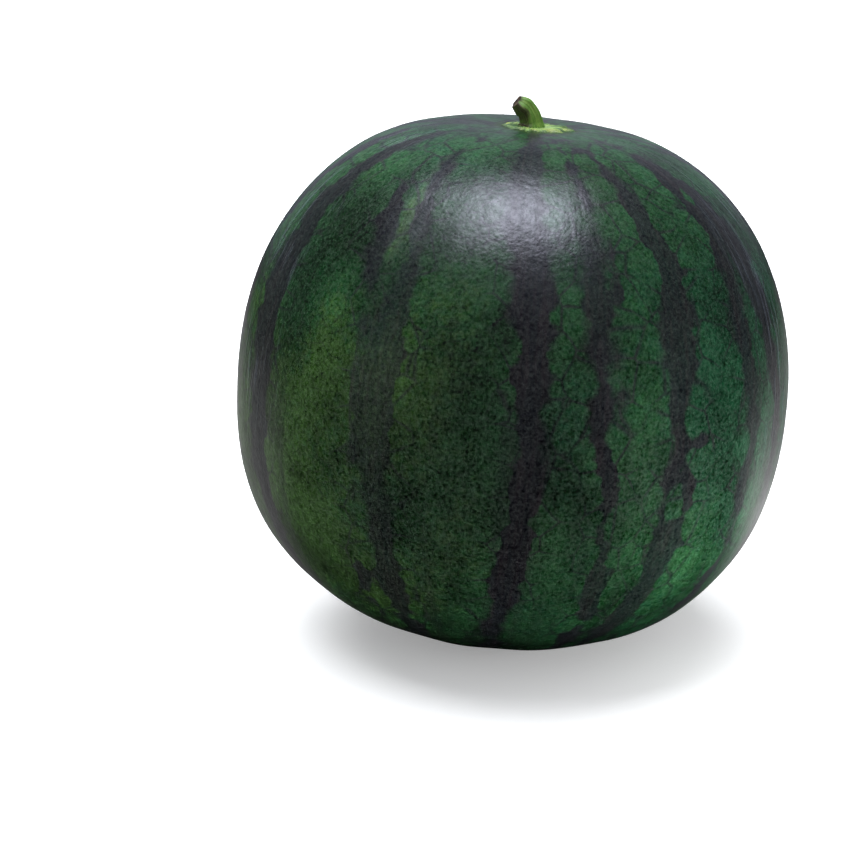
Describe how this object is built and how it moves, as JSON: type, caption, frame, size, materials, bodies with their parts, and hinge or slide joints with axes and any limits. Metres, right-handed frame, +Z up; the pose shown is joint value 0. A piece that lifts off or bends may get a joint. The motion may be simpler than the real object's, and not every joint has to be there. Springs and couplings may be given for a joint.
{
  "type": "watermelon",
  "caption": "Whole round dark-green striped watermelon with a bent stem stub, resting upright on a small flat spot, for still lifes, kitchens and food displays.",
  "frame": {"origin": "bottom centre of the bounding box, in the middle of the resting side", "axes": "+Z up through the melon, 4.4 degrees from its stem axis, which leans to +X; -Y is the front"},
  "size_m": [0.2016, 0.199, 0.2],
  "materials": {
    "rind": "satin",
    "stem": "matte"
  },
  "bodies": {
    "root": {"melon_body": "rind", "stem_stub": "stem"}
  },
  "joints": []
}
